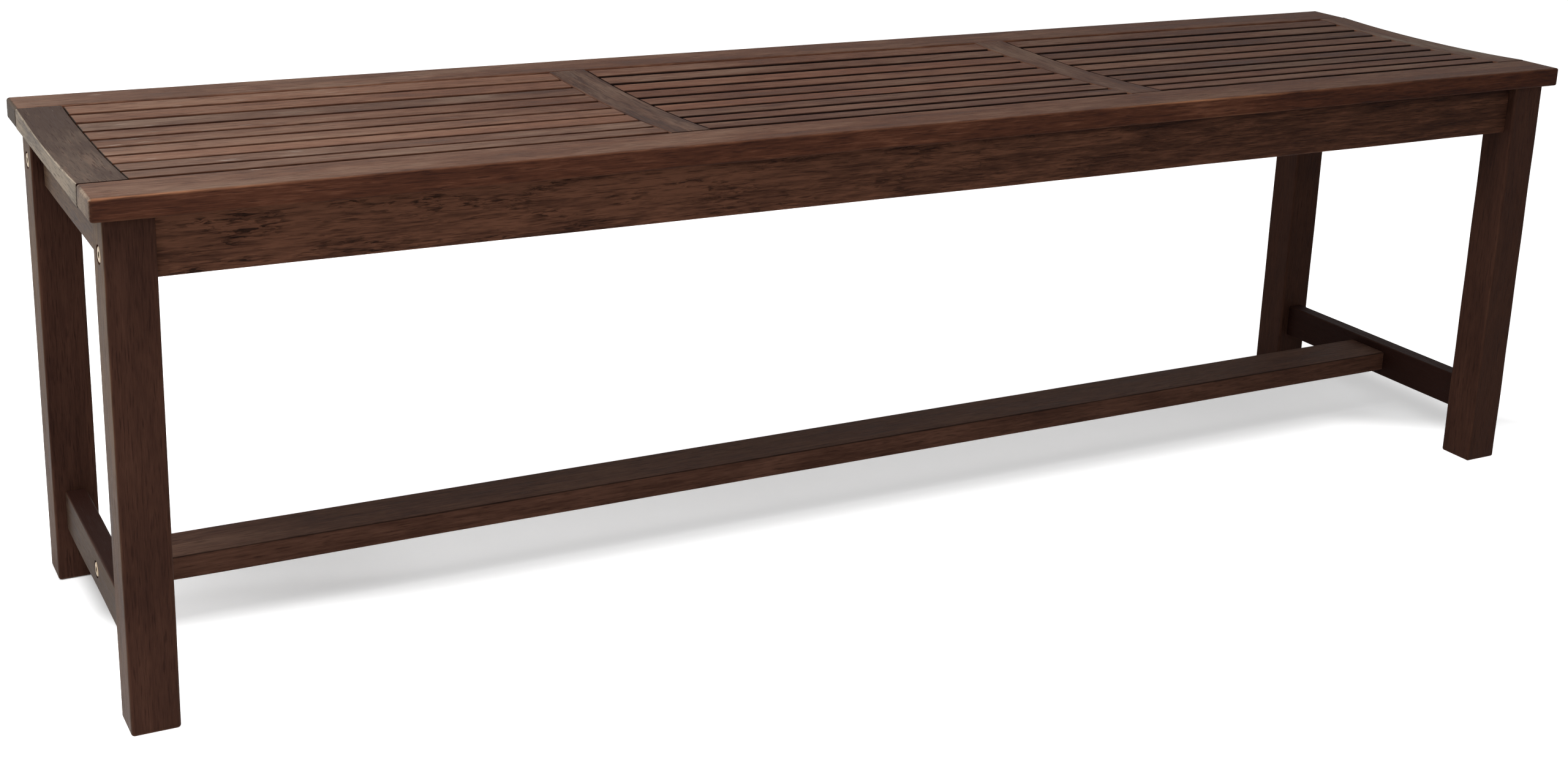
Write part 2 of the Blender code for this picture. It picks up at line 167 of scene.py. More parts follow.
# wood colours and amounts; the woods after the first change only what they name
seatWoodLook = {
    "dark": (0.020, 0.008, 0.006),
    "mid": (0.068, 0.027, 0.0155),
    "light": (0.152, 0.069, 0.041),
    "filmAndSheen": (0.166, 0.134, 0.106),    # grey worn film and painted sheen on faces that look up
    "filmAndSheenAmount": 0.34,
    "leftSheen": 0.155,                # more of it towards the left end: painted light and sheen
    "leftReach": (-0.15, -0.72),
    "scuff": (0.420, 0.360, 0.310),   # short pale scratches there
    "scuffAmount": 0.55,
    "dustAndSheen": (0.350, 0.292, 0.222),    # dry, dusty wood and painted sheen on the faces at the two ends
    "endDustAndSheen": 0.66,
    "endGloss": 0.12,                 # those faces are smoother by this share
    "edgeDustAndSheen": 0.80,                 # pale rubbed line and painted sheen where those faces turn into the top
    "endReach": (0.70, 0.73),         # how far out the ends begin
    "dustAndSheenHeight": (-0.25, 0.42),      # the dust and painted sheen grow from the floor up to the seat, so lower down the ends are darker: painted shade
    "wear": (0.400, 0.180, 0.090),    # bare wood on rubbed edges, and in part a painted highlight on the arrises
    "grime": (0.005, 0.0025, 0.002),  # stain and dirt, and painted shade in the gaps and along some edges
    "figure": {"blotch": 0.34, "streak": 0.18, "fleck": 0.06, "line": 0.28, "fibre": 0.20, "tone": 0.16},
    "level": -0.03,                   # added to the figure's lightness
    "specular": 0.03,
    "rough": (0.52, 0.72),
}
baseWoodLook = dict(
    seatWoodLook, dark=(0.018, 0.007, 0.005), mid=(0.055, 0.024, 0.0155), light=(0.110, 0.052, 0.034),
    wear=(0.170, 0.080, 0.048), filmAndSheenAmount=0.14, leftSheen=0.0, scuffAmount=0.0,
    dustAndSheen=(0.220, 0.158, 0.100), endDustAndSheen=0.46, edgeDustAndSheen=0.0, level=-0.04,
    figure={"blotch": 0.34, "streak": 0.12, "fleck": 0.14, "line": 0.30, "fibre": 0.18, "tone": 0.16})
apronWoodLook = dict(
    baseWoodLook, mid=(0.055, 0.0235, 0.0145), light=(0.124, 0.054, 0.032), level=-0.215,
    figure={"blotch": 0.31, "streak": 0.12, "fleck": 0.40, "line": 0.38, "fibre": 0.20, "tone": 0.16})
legWoodLook = dict(
    baseWoodLook, mid=(0.053, 0.0235, 0.0155), light=(0.098, 0.047, 0.032), level=0.165,
    figure={"blotch": 0.22, "streak": 0.08, "fleck": 0.05, "line": 0.14, "fibre": 0.14, "tone": 0.16})

# noise of the grain: cells in a metre along and across it, detail, roughness, distortion
grainNoise = {
    "blotch": (8.0, 30.0, 4.0, 0.6, 0.4),
    "streak": (3.5, 130.0, 5.0, 0.62, 0.5),
    "fleck": (18.0, 200.0, 4.0, 0.65, 0.4),
    "line": (26.0, 400.0, 4.0, 0.65, 0.2),
    "fibre": (70.0, 1200.0, 3.0, 0.65, 0.0),
    "scratch": (34.0, 620.0, 2.0, 0.5, 0.0),
    "scratchPatch": (5.0, 24.0, 2.0, 0.5, 0.0),
    "pore": (48.0, 900.0, 1.0, 0.5, 0.0),
    "pit": (70.0, 400.0, 3.0, 0.6, 0.6),
    "pitPatch": (16.0, 62.0, 3.0, 0.6, 0.0),
}
# where each mask begins and is full
maskReach = {
    "upward": (0.55, 0.95),
    "endward": (0.70, 0.95),
    "turning": (0.25, 0.55),
    "patch": (0.76, 1.02),
    "scratch": (0.66, 0.73),
    "scratchPatch": (0.48, 0.62),
    "dustAndSheenPatches": (0.36, 0.58),
    "pore": (0.60, 0.70),
    "pit": (0.50, 0.60),
    "pitPatch": (0.46, 0.60),
    "rubbed": (0.55, 0.95),
    "rough": (0.35, 0.65),
}
# how much of each layer goes into a sum, and what all woods share
woodMix = {
    "patch": {"blotch": 1.0, "line": 0.6},
    "dustAndSheenPatches": {"blotch": 0.4, "line": 0.35, "fibre": 0.25},
    "rubbed": {"blotch": 1.0, "line": 0.5},
    "rough": {"blotch": 0.5, "line": 0.5},
    "relief": {"line": 0.6, "fibre": 0.5, "streak": 0.5, "pore": -0.5, "pit": -1.4},
    "filmAndSheenFibre": 0.1,
    "toneMiddle": 0.5,
    "stops": (0.37, 0.51, 0.66),   # lightness where the dark, mid and light colours stand
    "redTint": (1.0, 0.66, 0.55),
    "redAmount": 0.45,
    "poreAmount": 0.6,
    "pitAmount": 0.85,
    "bumpStrength": 0.6,
    "bumpDistance": 0.0007,
}


# wood: layers of noise stretched along the board's own grain, mixed into colour, roughness and relief
def makeWood(name, look):
    material, tree, shader = newMaterial(name)
    grain = addNode(tree, "ShaderNodeAttribute", attribute_name="grain").outputs["Vector"]
    tone = addNode(tree, "ShaderNodeAttribute", attribute_name="tone")
    wear = addNode(tree, "ShaderNodeAttribute", attribute_name="wear").outputs["Fac"]
    grime = addNode(tree, "ShaderNodeAttribute", attribute_name="grime").outputs["Fac"]
    tones = addNode(tree, "ShaderNodeSeparateColor", {"Color": tone.outputs["Color"]})

    # noise whose cells are longer along the grain
    def stretched(kind):
        along, across, detail, rough, distortion = grainNoise[kind]
        mapped = addNode(tree, "ShaderNodeMapping", {"Vector": grain}, Scale=(along, across, across))
        noise = addNode(tree, "ShaderNodeTexNoise", {"Vector": mapped.outputs["Vector"]}, Scale=1.0,
                        Detail=detail, Roughness=rough, Distortion=distortion)
        return noise.outputs["Fac"]

    def times(first, second):
        return mathNode(tree, "MULTIPLY", first, second)

    def mask(source, kind):
        return rampNode(tree, source, maskReach[kind])

    # sum of the named layers, each times its share
    def summed(shares):
        parts = [times(layers[kind], amount) for kind, amount in shares.items()]
        result = parts[0]
        for part in parts[1:]:
            result = mathNode(tree, "ADD", result, part)
        return result

    # lightness of the figure, with the board's own tone
    layers = {kind: stretched(kind) for kind in ("blotch", "streak", "fleck", "line", "fibre")}
    layers["tone"] = mathNode(tree, "SUBTRACT", tones.outputs["Red"], woodMix["toneMiddle"])
    figure = mathNode(tree, "ADD", summed(look["figure"]), look["level"])
    ramp = addNode(tree, "ShaderNodeValToRGB", {"Fac": figure})
    stops = ramp.color_ramp.elements
    stops.new(woodMix["stops"][1])
    for stop, position, shade in zip(stops, woodMix["stops"], ("dark", "mid", "light")):
        stop.position = position
        stop.color = (*look[shade], 1.0)
    colour = ramp.outputs["Color"]

    # some boards are redder
    redder = times(tones.outputs["Green"], woodMix["redAmount"])
    colour = mixColour(tree, redder, colour, woodMix["redTint"], "MULTIPLY")

    # which way the face looks, and how near an end of the bench it is
    geometry = addNode(tree, "ShaderNodeNewGeometry")
    facing = addNode(tree, "ShaderNodeSeparateXYZ", {"Vector": geometry.outputs["Normal"]})
    objectPlace = addNode(tree, "ShaderNodeTexCoord").outputs["Object"]
    place = addNode(tree, "ShaderNodeSeparateXYZ", {"Vector": objectPlace})
    upward = mask(facing.outputs["Z"], "upward")
    outward = times(facing.outputs["X"], mathNode(tree, "SIGN", place.outputs["X"]))
    atEnd = rampNode(tree, mathNode(tree, "ABSOLUTE", place.outputs["X"]), look["endReach"])
    outward = times(outward, atEnd)
    endward = mask(outward, "endward")

    # grey worn film and painted sheen where the face looks up, broken by blotches and lines, with more
    # painted light and scuffs towards the left
    layers["patch"] = mask(summed(woodMix["patch"]), "patch")
    layers["left"] = rampNode(tree, place.outputs["X"], look["leftReach"])
    wornAndSheen = summed({"patch": look["filmAndSheenAmount"], "fibre": woodMix["filmAndSheenFibre"], "left": look["leftSheen"]})
    wornAndSheen = times(wornAndSheen, tone.outputs["Alpha"])
    colour = mixColour(tree, times(upward, wornAndSheen), colour, look["filmAndSheen"])
    scuff = times(mask(stretched("scratch"), "scratch"), layers["left"])
    scuff = times(scuff, mask(stretched("scratchPatch"), "scratchPatch"))
    scuff = times(scuff, times(upward, look["scuffAmount"]))
    colour = mixColour(tree, scuff, colour, look["scuff"])

    # dry, dusty faces with a painted sheen at the two ends, and the edge where they turn into the top
    dustAndSheenPatches = mask(summed(woodMix["dustAndSheenPatches"]), "dustAndSheenPatches")
    dustAndSheenPatches = times(dustAndSheenPatches, rampNode(tree, place.outputs["Z"], look["dustAndSheenHeight"]))
    colour = mixColour(tree, times(endward, times(dustAndSheenPatches, look["endDustAndSheen"])), colour, look["dustAndSheen"])
    turning = times(mask(outward, "turning"), mask(facing.outputs["Z"], "turning"))
    colour = mixColour(tree, times(turning, times(dustAndSheenPatches, look["edgeDustAndSheen"])), colour, look["dustAndSheen"])

    # pores: short dark dashes, and torn pits where the board's blue tone asks for them
    layers["pore"] = mask(stretched("pore"), "pore")
    colour = mixColour(tree, times(layers["pore"], woodMix["poreAmount"]), colour, look["dark"])
    pit = times(mask(stretched("pit"), "pit"), mask(stretched("pitPatch"), "pitPatch"))
    layers["pit"] = times(pit, tones.outputs["Blue"])
    colour = mixColour(tree, times(layers["pit"], woodMix["pitAmount"]), colour, look["grime"])

    # rubbed edges: bare wood, partly a painted highlight on the arrises, shows where the attribute for
    # rubbed edges meets pale blotches and lines
    rubbed = mask(summed(woodMix["rubbed"]), "rubbed")
    colour = mixColour(tree, mathNode(tree, "MULTIPLY", rubbed, wear, True), colour, look["wear"])
    # dark ends at the joints, and painted shade in the slats' gaps and along some edges
    colour = mixColour(tree, grime, colour, look["grime"])
    tree.links.new(colour, shader.inputs["Base Color"])

    rough = rampNode(tree, summed(woodMix["rough"]), maskReach["rough"], look["rough"])
    smoother = mathNode(tree, "SUBTRACT", 1.0, times(endward, look["endGloss"]))
    tree.links.new(times(rough, smoother), shader.inputs["Roughness"])
    shader.inputs["Specular IOR Level"].default_value = look["specular"]

    bump = addNode(tree, "ShaderNodeBump", {"Height": summed(woodMix["relief"])},
                   Strength=woodMix["bumpStrength"], Distance=woodMix["bumpDistance"])
    tree.links.new(bump.outputs["Normal"], shader.inputs["Normal"])
    return material


# metal: fine scratches and a darker tarnish in patches
brassLook = {
    "bright": (0.38, 0.28, 0.17),
    "dull": (0.20, 0.145, 0.085),
    "darkening": (0.030, 0.022, 0.014),
    "rough": 0.40,
}
zincLook = {
    "bright": (0.66, 0.66, 0.64),
    "dull": (0.36, 0.36, 0.37),
    "darkening": (0.05, 0.05, 0.05),
    "rough": 0.42,
}
metalNoise = {
    "patchScale": 260.0, "patchDetail": 4.0, "patchReach": (0.45, 0.75),
    "scratchScale": 2600.0, "scratchDetail": 2.0,
    "scratchRough": 0.2,   # span of roughness that the scratches give
    "bumpStrength": 0.2, "bumpDistance": 0.00005,
}


def makeMetal(name, look):
    material, tree, shader = newMaterial(name)
    place = addNode(tree, "ShaderNodeTexCoord").outputs["Object"]

    def noise(kind):
        node = addNode(tree, "ShaderNodeTexNoise", {"Vector": place}, Scale=metalNoise[kind + "Scale"],
                       Detail=metalNoise[kind + "Detail"])
        return node.outputs["Fac"]

    scratch = noise("scratch")
    tarnish = rampNode(tree, noise("patch"), metalNoise["patchReach"])
    colour = mixColour(tree, tarnish, look["bright"], look["dull"])
    # the socket's inner rings are darker
    grime = addNode(tree, "ShaderNodeAttribute", attribute_name="grime").outputs["Fac"]
    colour = mixColour(tree, grime, colour, look["darkening"])
    tree.links.new(colour, shader.inputs["Base Color"])
    change = mathNode(tree, "MULTIPLY", scratch, metalNoise["scratchRough"])
    rough = mathNode(tree, "ADD", change, look["rough"] - metalNoise["scratchRough"] / 2)
    tree.links.new(rough, shader.inputs["Roughness"])
    shader.inputs["Metallic"].default_value = 1.0
    bump = addNode(tree, "ShaderNodeBump", {"Height": scratch}, Strength=metalNoise["bumpStrength"],
                   Distance=metalNoise["bumpDistance"])
    tree.links.new(bump.outputs["Normal"], shader.inputs["Normal"])
    return material


seatWood = makeWood("seatWood", seatWoodLook)
baseWood = makeWood("baseWood", baseWoodLook)
apronWood = makeWood("apronWood", apronWoodLook)
legWood = makeWood("legWood", legWoodLook)
boltBrass = makeMetal("boltBrass", brassLook)
fixingZinc = makeMetal("fixingZinc", zincLook)
print("materials made")

# boards
boardLook = {
    "arcSteps": 5,          # steps across a rounded edge
    "endSteps": 4,          # steps over the rounding at an end
    "sidePlaces": (0.02, 0.2, 0.4, 0.6, 0.8, 0.98),   # shares of a flat side that carry a line of points
    "capShares": (0.5, 0.85),   # rings on the flat cap at an end, as shares of its size
    "ringStep": 0.012,      # distance between rings along a board
    "clearance": 0.0003,    # gap at a joint
    "wander": 0.00035,      # most that a worn face lies inside the sawn size
    "radiusChange": 0.35,   # share by which an edge's radius wanders
    "leastRadius": 0.2,     # share of the edge's radius that is left where an end rounds over
    "sideShadePower": 1.1,      # how sharply the painted shade on a side ends at its rounded edges
    "faceSeeds": (10, 20),  # added to a board's seed for the faces on its plus and minus sides
    "grainOffset": (9.0, 0.6, 0.6),   # most that a board's grain is moved along and across
    "sharpDegrees": 38,     # faces that meet at more than this are not shaded as one
}
wanderLook = {
    "edgeShortest": 0.05,   # shortest wave of an edge's radius
    "faceShortest": 0.12,   # shortest wave of a face
    "orders": 4,
    "spread": 2.2,          # a wave is longer by up to this many times
    "peak": 2.1,            # a little over the sum of one over each order
}
# wear with painted arris highlights, and painted shade at corners, go round the section's corners: both
# across and up plus, across minus, both minus, up minus; painted shade on sides goes round its sides: up
# plus, across minus, up minus, across plus
allClean = (0.0, 0.0, 0.0, 0.0)


# smooth curve through the places given: a sum of sines with seeded phases, between 0 and 1
def wanderCurve(places, seed, shortest):
    rng = np.random.default_rng(seed)
    orders = wanderLook["orders"]
    total = np.zeros_like(places)
    for order in range(1, orders + 1):
        wave = shortest * (1.0 + wanderLook["spread"] * rng.random()) * orders / order
        total += np.sin(2 * np.pi * places / wave + rng.random() * 2 * np.pi) / order
    return 0.5 + 0.5 * total / wanderLook["peak"]


# rounded rectangle as arrays round its rim: a point is the corner's sign times (half size less radius), plus
# the radius times the direction; the share of the arc and the corner's number say where it lies
def sectionArrays():
    steps = boardLook["arcSteps"]
    cornerA, cornerB, directionA, directionB, arcShare, corner = [], [], [], [], [], []
    signs = ((1, 1), (-1, 1), (-1, -1), (1, -1))
    for quarter, (signA, signB) in enumerate(signs):
        angles = np.pi / 2 * (quarter + np.arange(steps + 1) / steps)
        cornerA.append(np.full(steps + 1, float(signA)))
        cornerB.append(np.full(steps + 1, float(signB)))
        directionA.append(np.cos(angles))
        directionB.append(np.sin(angles))
        arcShare.append(np.sin(np.pi * np.arange(steps + 1) / steps))
        corner.append(np.full(steps + 1, quarter))
        nextA, nextB = signs[(quarter + 1) % len(signs)]
        share = np.array(boardLook["sidePlaces"])
        cornerA.append(signA + (nextA - signA) * share)
        cornerB.append(signB + (nextB - signB) * share)
        flat = np.pi / 2 * (quarter + 1)
        directionA.append(np.full(len(share), np.cos(flat)))
        directionB.append(np.full(len(share), np.sin(flat)))
        arcShare.append(np.zeros(len(share)))
        corner.append(np.full(len(share), quarter))
    return [np.concatenate(part) for part in (cornerA, cornerB, directionA, directionB, arcShare, corner)]


# a ring grid closed by a pole at each end: quads between rings, triangles round the poles
def gridFaces(ringCount, pointCount):
    here = np.arange(pointCount)
    after = (here + 1) % pointCount
    start = (np.arange(ringCount - 1) * pointCount)[:, None]
    following = start + pointCount
    quads = np.stack([start + here, start + after, following + after, following + here], -1)
    first = ringCount * pointCount
    lastRing = (ringCount - 1) * pointCount
    nearPole = np.stack([np.full(pointCount, first), after, here], -1)
    farPole = np.stack([np.full(pointCount, first + 1), lastRing + here, lastRing + after], -1)
    return quads.reshape(-1, 4).tolist() + nearPole.tolist() + farPole.tolist()


# world points from places along and across: the board's length lies on X, Y or Z
def toWorld(axis, along, a, b, middle):
    order = {"X": (along, a, b), "Y": (b, along, a), "Z": (a, b, along)}[axis]
    return np.stack(order, -1).reshape(-1, 3) + np.array(middle)


# board: a rounded rectangle carried along a straight path; the radius and the four faces wander a little
# inwards, the ends are rounded over, and flat caps shrink to a pole
def boardMesh(name, axis, low, high, look, seed, wearCorners=None):
    edge, endEdge = look["edge"], look["endEdge"]
    axisIndex = "XYZ".index(axis)
    sizeA, sizeB = {"X": (1, 2), "Y": (2, 0), "Z": (0, 1)}[axis]
    low, high = np.array(low), np.array(high)
    half = (high - low) / 2
    cornerA, cornerB, directionA, directionB, arcShare, corner = sectionArrays()
    reach = half[axisIndex]
    turn = np.linspace(0, np.pi / 2, boardLook["endSteps"] + 1)
    endAlong = reach - endEdge + endEdge * np.cos(turn)
    endInset = endEdge * (1 - np.sin(turn))
    span = np.arange(-(reach - endEdge), reach - endEdge, boardLook["ringStep"])[1:]
    capShares = boardLook["capShares"]
    caps = np.ones(len(capShares))
    along = np.concatenate([-reach * caps, -endAlong, span, endAlong[::-1], reach * caps])
    inset = np.concatenate([endEdge * caps, endInset, span * 0, endInset[::-1], endEdge * caps])
    share = np.concatenate([capShares, np.ones(len(along) - 2 * len(capShares)), capShares[::-1]])
    change = (wanderCurve(along, seed, wanderLook["edgeShortest"]) - 0.5) * 2
    radius = edge * (1 + boardLook["radiusChange"] * change)
    radius = np.maximum(radius - inset, edge * boardLook["leastRadius"])
    spanA = half[sizeA] - inset
    spanB = half[sizeB] - inset
    a = (cornerA * (spanA - radius)[:, None] + directionA * radius[:, None]) * share[:, None]
    b = (cornerB * (spanB - radius)[:, None] + directionB * radius[:, None]) * share[:, None]
    for index, values, size in ((0, a, half[sizeA]), (1, b, half[sizeB])):
        plus, minus = (wanderCurve(along, seed + extra + index, wanderLook["faceShortest"])
                       for extra in boardLook["faceSeeds"])
        pull = boardLook["wander"] * np.where(values > 0, plus[:, None], minus[:, None]) / size
        values *= 1 - pull
    middle = (low + high) / 2
    points = toWorld(axis, np.repeat(along[:, None], len(cornerA), 1), a, b, middle)
    poles = toWorld(axis, np.array([-reach, reach]), np.zeros(2), np.zeros(2), middle)
    rubbed = np.array(wearCorners or look["wear"])[corner] * arcShare ** 2
    normals = (directionB, -directionA, -directionB, directionA)
    power = boardLook["sideShadePower"]
    # darkening: painted shade on the sides and corners that carry it, and dark ends where boards meet
    darkening = sum(amount * np.maximum(normal, 0) ** power for amount, normal in zip(look["grime"], normals))
    darkening = np.maximum(darkening, np.array(look.get("cornerGrime", allClean))[corner] * arcShare)
    darkening = np.maximum(darkening[None, :], np.where(inset > 0, look["endGrime"], 0.0)[:, None])
    endRub = np.where((inset > 0) & (inset < endEdge), look["endWear"], 0.0)
    wear = np.maximum(rubbed[None, :] * (share == 1)[:, None], endRub[:, None])
    mesh = bpy.data.meshes.new(name)
    mesh.from_pydata(np.concatenate([points, poles]).tolist(), [], gridFaces(len(along), len(cornerA)))
    for layer, values, atPole in (("wear", wear, 0.0), ("grime", darkening, look["endGrime"])):
        data = mesh.attributes.new(layer, "FLOAT", "POINT").data
        data.foreach_set("value", np.concatenate([values.ravel(), [atPole, atPole]]).astype(np.float32))
    return mesh


def vertexPlaces(mesh):
    places = np.empty(len(mesh.vertices) * 3, np.float32)
    mesh.vertices.foreach_get("co", places)
    return places.reshape(-1, 3).astype(np.float64)


# seat sizes, read from the nodes
frontRail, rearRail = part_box("seat_rail_front"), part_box("seat_rail_rear")
seatTop = frontRail[1][2]
seatUnder = frontRail[0][2]
innerHalf = rearRail[0][1]
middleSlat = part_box(f"slat_middle_{slatCount // 2 + 1}")
seatDish = seatTop - middleSlat[1][2]
slatThick = middleSlat[1][2] - middleSlat[0][2]


# seat hollow: the top falls as one less the square of the share of the way out to the long rails
def hollow(y):
    share = np.minimum(np.abs(y) / innerHalf, 1.0)
    return seatDish * (1 - share ** 2)


# a whole board sinks by the hollow, or else its top does and its underside stays
def sinkTop(mesh, low, thick, whole):
    places = vertexPlaces(mesh)
    weight = np.ones(len(places)) if whole else np.clip((places[:, 2] - low) / thick, 0, 1)
    places[:, 2] -= hollow(places[:, 1]) * weight
    mesh.vertices.foreach_set("co", places.astype(np.float32).ravel())


turnedLook = {"facets": 48, "holeFacets": 40, "holeOverhang": 0.003}


# turned surface: rings about an axis; a ring's radius is a circle plus a share of a hexagon's edge
def turnedMesh(name, axis, start, sense, middle, rings, facets=turnedLook["facets"], darkRings=0):
    table = np.array(rings)
    angle = 2 * np.pi * np.arange(facets) / facets
    hexEdge = 1 / np.cos((angle + np.pi / 6) % (np.pi / 3) - np.pi / 6)
    radius = table[:, 1:2] + table[:, 2:3] * hexEdge[None, :]
    along = np.repeat(start + sense * table[:, 0:1], facets, 1)
    a, b = radius * np.cos(angle), radius * np.sin(angle)
    points = toWorld(axis, along, a, b, middle)
    poles = toWorld(axis, np.array([along[0, 0], along[-1, 0]]), np.zeros(2), np.zeros(2), middle)
    faces = gridFaces(len(table), facets)
    if sense < 0:
        faces = [face[::-1] for face in faces]
    mesh = bpy.data.meshes.new(name)
    mesh.from_pydata(np.concatenate([points, poles]).tolist(), [], faces)
    if darkRings:
        darkening = np.zeros(len(mesh.vertices), np.float32)
        darkening[:darkRings * facets] = 1.0
        darkening[len(points)] = 1.0
        mesh.attributes.new("grime", "FLOAT", "POINT").data.foreach_set("value", darkening)
    return mesh


# hole: a turned cutter is taken out of the board, and the cutter is thrown away
def drill(mesh, axis, start, sense, middle, radius, depth):
    rings = [(-turnedLook["holeOverhang"], radius, 0.0), (depth, radius, 0.0)]
    rod = turnedMesh("cutter", axis, start, sense, middle, rings, turnedLook["holeFacets"])
    cutter = bpy.data.objects.new("cutter", rod)
    board = bpy.data.objects.new("board", mesh)
    for item in (cutter, board):
        scene.collection.objects.link(item)
    modifier = board.modifiers.new("hole", "BOOLEAN")
    modifier.object = cutter
    modifier.solver = "EXACT"
    result = bpy.data.meshes.new_from_object(board.evaluated_get(bpy.context.evaluated_depsgraph_get()))
    result.name = mesh.name
    for item in (cutter, board):
        old = item.data
        bpy.data.objects.remove(item)
        bpy.data.meshes.remove(old)
    return result


# finish: grain places are the board's own length and breadth plus a seeded offset; the tone holds lightness,
# redness, pitting and the share of grey film and painted sheen, the same all over a board unless a shade
# function paints light and shade into it
def placeBoard(name, mesh, axis, seed, material, tone, shade=None):
    rng = np.random.default_rng(seed)
    places = vertexPlaces(mesh)
    order = {"X": [0, 1, 2], "Y": [1, 0, 2], "Z": [2, 0, 1]}[axis]
    grain = places[:, order] + rng.random(3) * np.array(boardLook["grainOffset"])
    grainLayer = mesh.attributes.new("grain", "FLOAT_VECTOR", "POINT")
    grainLayer.data.foreach_set("vector", grain.astype(np.float32).ravel())
    lightness, redness, filmAndSheen = tone
    values = np.tile((lightness, redness, 0.0, filmAndSheen), (len(places), 1))
    if shade:
        shade(places, values)
    toneLayer = mesh.attributes.new("tone", "FLOAT_COLOR", "POINT")
    toneLayer.data.foreach_set("color", values.astype(np.float32).ravel())
    placePiece(name, mesh, material)


def placePiece(name, mesh, material):
    mesh.materials.clear()
    mesh.materials.append(material)
    mesh.shade_smooth()
    mesh.set_sharp_from_angle(angle=math.radians(boardLook["sharpDegrees"]))
    piece = bpy.data.objects.new(name + "_finish", mesh)
    scene.collection.objects.link(piece)
    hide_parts(name)
    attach(piece, "root")


gap = boardLook["clearance"]

# long seat rails; the front one is rubbed bare along its top front edge
railLook = {
    "edge": 0.0022, "endEdge": 0.0030, "endWear": 0.1,
    "frontWear": (0.2, 1.0, 0.2, 0.2), "rearWear": (0.2, 0.1, 0.2, 0.2),
    "wearFade": 0.07, "wearRest": 0.15,
    "rubPlace": 0.30, "rubReach": 0.10, "rubAmount": 0.55,   # a second rubbed stretch of the edges
    "grime": allClean, "frontEndGrime": 0.25, "rearEndGrime": 0.78,
    # painted shade along the rail's lower front edge, over the apron
    "cornerGrime": (0.0, 0.0, 0.2, 0.0),
    "faceRed": 0.55, "rightRed": 0.3,        # the front face is redder
    "rightDark": 0.5, "leftDark": 0.35,      # and darker at both ends: painted shade
    "tone": (0.70, 0.0, 0.85),
    "shapeSeed": 100, "grainSeed": 200,
}


# share of the way from the bench's left end to its right end
def shareAlong(places):
    return (places[:, 0] - cadBox[0][0]) / (cadBox[1][0] - cadBox[0][0])


# front face of the front rail: lightness falls with the cube of the share from the left, where redness grows
# too, and with the square of the share from the right; the falling lightness is painted shade
def railShade(places, values):
    face = places[:, 1] < frontRail[0][1] + railLook["edge"]
    right = face * shareAlong(places) ** 3
    left = face * (1 - shareAlong(places)) ** 2
    values[:, 0] -= railLook["rightDark"] * right + railLook["leftDark"] * left
    values[:, 1] += railLook["faceRed"] * face + railLook["rightRed"] * right


# wear along a rail: one at the left end, falling by a share of e in each fade length to a rest, plus a bell
# curve where the second rubbed stretch is
def fadeWear(mesh):
    along = vertexPlaces(mesh)[:, 0]
    layer = mesh.attributes["wear"].data
    values = np.empty(len(mesh.vertices), np.float32)
    layer.foreach_get("value", values)
    fromLeft = (along - cadBox[0][0]) / railLook["wearFade"]
    fromRub = (along - railLook["rubPlace"]) / railLook["rubReach"]
    rest = railLook["wearRest"]
    amount = rest + (1 - rest) * np.exp(-fromLeft) + railLook["rubAmount"] * np.exp(-fromRub ** 2)
    layer.foreach_set("value", (values * amount).astype(np.float32))


for order, side in enumerate(sides):
    node = f"seat_rail_{side}"
    look = dict(railLook, wear=railLook[side + "Wear"], endGrime=railLook[side + "EndGrime"])
    mesh = boardMesh(node, "X", *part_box(node), look, railLook["shapeSeed"] + order)
    fadeWear(mesh)
    placeBoard(node, mesh, "X", railLook["grainSeed"] + order, seatWood, railLook["tone"],
               railShade)

# end and cross rails between the long rails, with hollowed tops
shortRailLook = {
    "edge": 0.0016, "endEdge": 0.0004, "endWear": 0.0, "grime": allClean, "endGrime": 0.6,
    "wear": ((0.05, 0.0, 0.0, 0.0), (0.0, 0.0, 0.0, 0.05), (0.1, 0.0, 0.0, 0.1), (0.1, 0.0, 0.0, 0.1)),
    # the right end rail's large film share paints a pale sheen on its top
    "tones": ((-0.50, 0.0, 0.68), (0.85, 0.0, 3.0), (0.0, 0.0, 0.9), (0.34, 0.05, 1.0)),
    "shapeSeed": 120, "grainSeed": 220,
}
for order, node in enumerate(f"{kind}_rail_{end}" for kind in ("end", "cross") for end in ends):
    low, high = (np.array(corner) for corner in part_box(node))
    low[1], high[1] = -innerHalf + gap, innerHalf - gap
    mesh = boardMesh(node, "Y", low, high, shortRailLook, shortRailLook["shapeSeed"] + order,
                     shortRailLook["wear"][order])
    sinkTop(mesh, seatUnder, seatTop - seatUnder, False)
    placeBoard(node, mesh, "Y", shortRailLook["grainSeed"] + order, seatWood,
               shortRailLook["tones"][order])

# slats between the rails; each bends with the hollow
slatLook = {
    "bayEdge": (0.0008, 0.0014, 0.0015), "endEdge": 0.0006, "endWear": 0.0, "wear": allClean,
    # painted shade on the slats' sides, which darkens the gaps, less in the lit left bay
    "bayGrime": (0.42, 1.0, 1.0), "endGrime": 0.9,
    "uneven": (0.0003, 0.0012, 0.0014),                   # most that a side is narrowed in each bay
    "bayTones": ((0.35, 1.2), (0.2, 1.1), (0.35, 1.05)),  # span of the boards' own tone in each bay
    "redness": (0.35, 0.6, 0.5), "filmShare": (0.7, 1.2),
    "firstSeed": 300, "bayStep": 20, "grainStep": 100,
}
bayEdges = [
    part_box("end_rail_left")[1][0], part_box("cross_rail_left")[0][0],
    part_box("cross_rail_left")[1][0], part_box("cross_rail_right")[0][0],
    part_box("cross_rail_right")[1][0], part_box("end_rail_right")[0][0],
]
